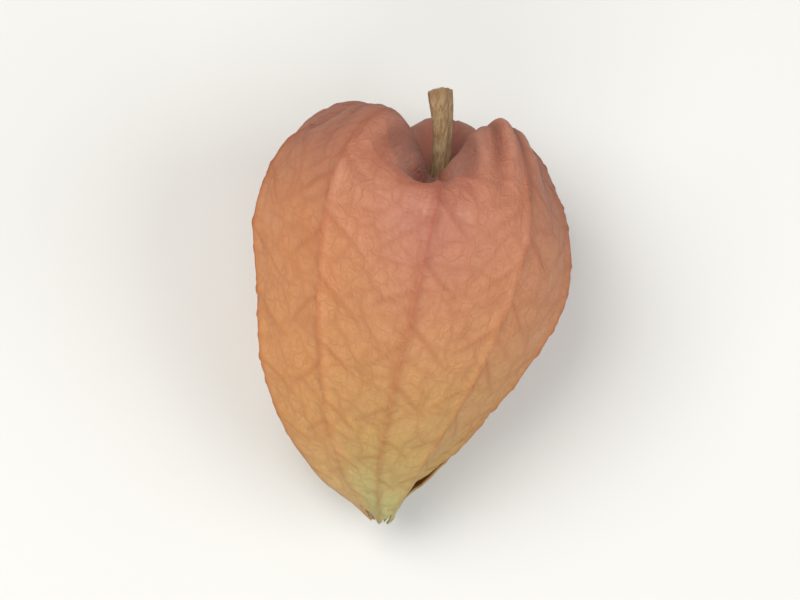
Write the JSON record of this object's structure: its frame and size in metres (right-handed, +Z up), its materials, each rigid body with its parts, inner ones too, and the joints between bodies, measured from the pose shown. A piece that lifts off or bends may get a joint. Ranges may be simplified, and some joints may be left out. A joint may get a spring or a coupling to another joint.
{
  "type": "dried physalis fruit in its husk",
  "caption": "Dried physalis: a glossy berry on its stalk inside a heart-shaped papery husk with ribs and a raised net of veins, lying on its side.",
  "frame": {"origin": "on the surface that the fruit lies on, under the middle of the whole object", "axes": "+Z up, +Y the level direction towards the stem end, -Y towards the tip of the husk, +X to the right when looking along +Y"},
  "size_m": [0.0308, 0.0404, 0.0305],
  "materials": {
    "husk_paper": "matte, thin and veined, lets some light through",
    "berry_skin": "glossy, slightly wrinkled fruit skin",
    "dry_stalk": "matte, dry and fibrous"
  },
  "bodies": {
    "root": {"husk": "husk_paper", "berry": "berry_skin", "stalk": "dry_stalk"}
  },
  "joints": []
}
